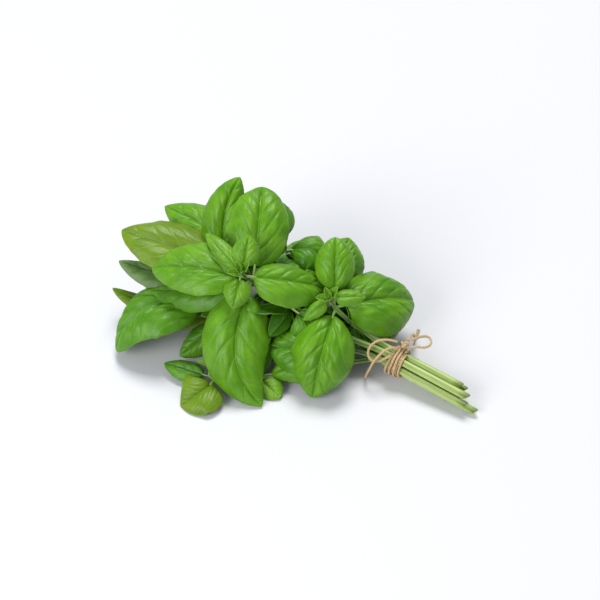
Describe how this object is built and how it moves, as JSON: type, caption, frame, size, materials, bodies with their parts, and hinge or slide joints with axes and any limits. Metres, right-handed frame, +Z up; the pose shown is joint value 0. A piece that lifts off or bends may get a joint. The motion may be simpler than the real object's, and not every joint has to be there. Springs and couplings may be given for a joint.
{
  "type": "basil bunch",
  "caption": "Bunch of fresh leafy herb sprigs lying down, their stems tied together with twine in a bow.",
  "frame": {"origin": "middle of the bunch's length and width, on the surface that it lies on", "axes": "+X along the bunch towards the cut stem ends, +Z up, away from the surface"},
  "size_m": [0.2686, 0.1936, 0.0994],
  "materials": {
    "leaf": "glossy bright green leaf, pale veins",
    "young_leaf": "satin yellow-green young leaf",
    "stem": "satin pale green stem with grooves",
    "twine": "matt natural jute"
  },
  "bodies": {
    "root": {"base_leaf_back": "leaf", "base_leaf_inner": "leaf", "base_leaf_left": "leaf", "base_leaf_low_back": "leaf", "base_leaf_rear": "leaf", "base_shoot_tip": "young_leaf", "base_stem": "stem", "crown_leaf_back": "leaf", "crown_leaf_front": "leaf", "crown_leaf_left": "leaf", "crown_leaf_low_back": "leaf", "crown_leaf_low_right": "leaf", "crown_leaf_right": "leaf", "crown_leaf_under_left": "leaf", "crown_leaf_young_back": "young_leaf", "crown_leaf_young_front": "young_leaf", "crown_leaf_young_left": "young_leaf", "crown_shoot_tip": "young_leaf", "crown_stem": "stem", "front_leaf_front": "young_leaf", "front_leaf_left": "leaf", "front_leaf_low_right": "young_leaf", "front_leaf_right": "leaf", "front_shoot_tip": "young_leaf", "front_stem": "stem", "left_leaf_front": "leaf", "left_leaf_left": "leaf", "left_leaf_low_left": "leaf", "left_leaf_low_right": "leaf", "left_shoot_tip": "young_leaf", "left_stem": "stem", "rear_leaf_back": "leaf", "rear_leaf_low_back": "leaf", "rear_leaf_low_right": "leaf", "rear_leaf_right": "leaf", "rear_leaf_upper_right": "leaf", "rear_leaf_upright": "leaf", "rear_left_leaf_back": "leaf", "rear_left_leaf_left": "leaf", "rear_left_leaf_low_back": "leaf", "rear_left_leaf_under_left": "leaf", "rear_left_leaf_upper_left": "leaf", "rear_left_leaf_upright": "leaf", "rear_left_shoot_tip": "young_leaf", "rear_left_stem": "stem", "rear_shoot_tip": "young_leaf", "rear_stem": "stem", "shoulder_leaf_back": "leaf", "shoulder_leaf_front": "leaf", "shoulder_leaf_right": "leaf", "shoulder_leaf_young_left": "young_leaf", "shoulder_leaf_young_right": "young_leaf", "shoulder_shoot_tip": "young_leaf", "shoulder_stem": "stem", "twine_bow_left": "twine", "twine_bow_right": "twine", "twine_knot": "twine", "twine_tail_left": "twine", "twine_tail_right": "twine", "twine_wrap": "twine"}
  },
  "joints": []
}
